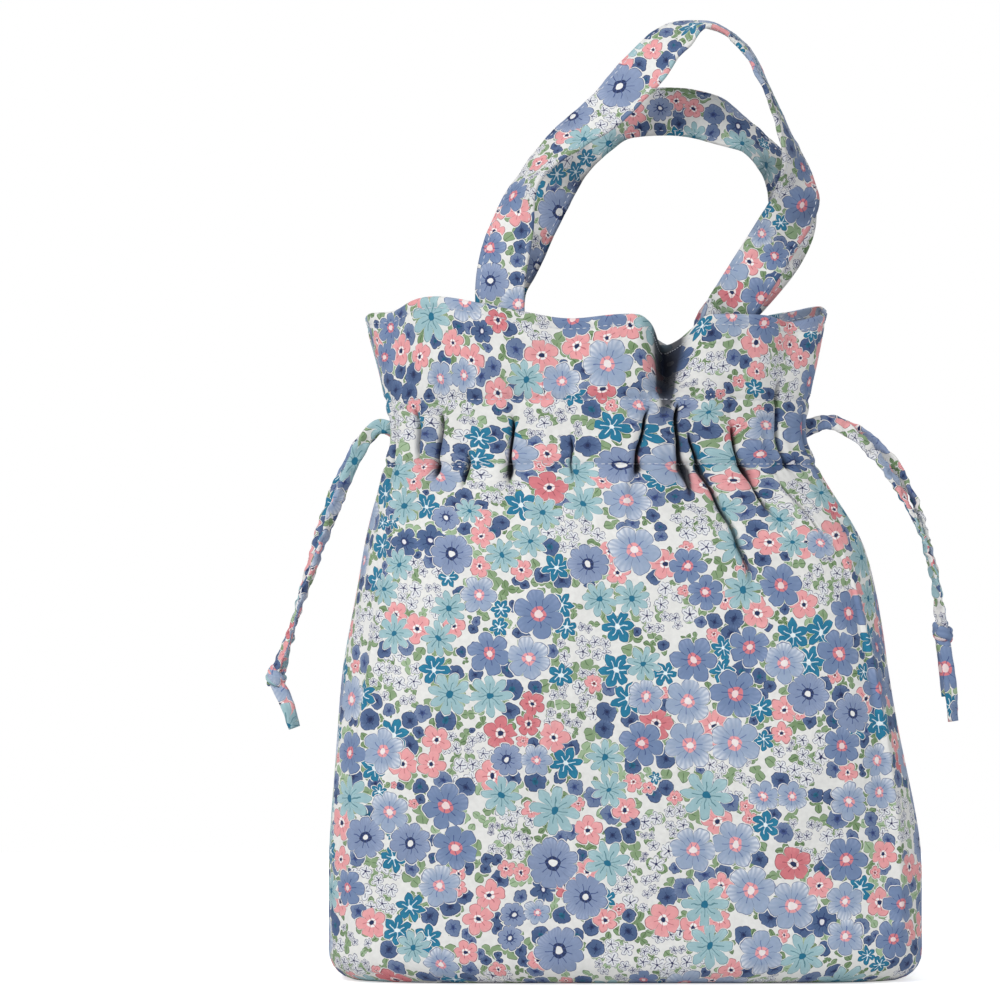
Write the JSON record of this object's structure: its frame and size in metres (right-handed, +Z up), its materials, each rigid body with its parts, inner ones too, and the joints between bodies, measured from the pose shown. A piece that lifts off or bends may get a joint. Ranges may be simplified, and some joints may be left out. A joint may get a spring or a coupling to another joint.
{
  "type": "tote bag",
  "caption": "Small soft cotton tote bag with a boxed base, a drawstring neck, a ruffled hem and two upright flat handles.",
  "frame": {"origin": "middle of the flat base, on the surface that the bag stands on", "axes": "+Z up through the mouth, -Y towards the front, +X to the right seen from the front"},
  "size_m": [0.2924, 0.106, 0.4021],
  "materials": {
    "printed_cotton": "matt plain-weave cotton with a small floral print on an off-white ground",
    "printed_tape": "matt folded tape of the same floral cotton"
  },
  "bodies": {
    "root": {"bag_body": "printed_cotton", "front_handle": "printed_cotton", "back_handle": "printed_cotton", "left_drawstring": "printed_tape", "right_drawstring": "printed_tape", "left_knot": "printed_tape", "right_knot": "printed_tape"}
  },
  "joints": []
}
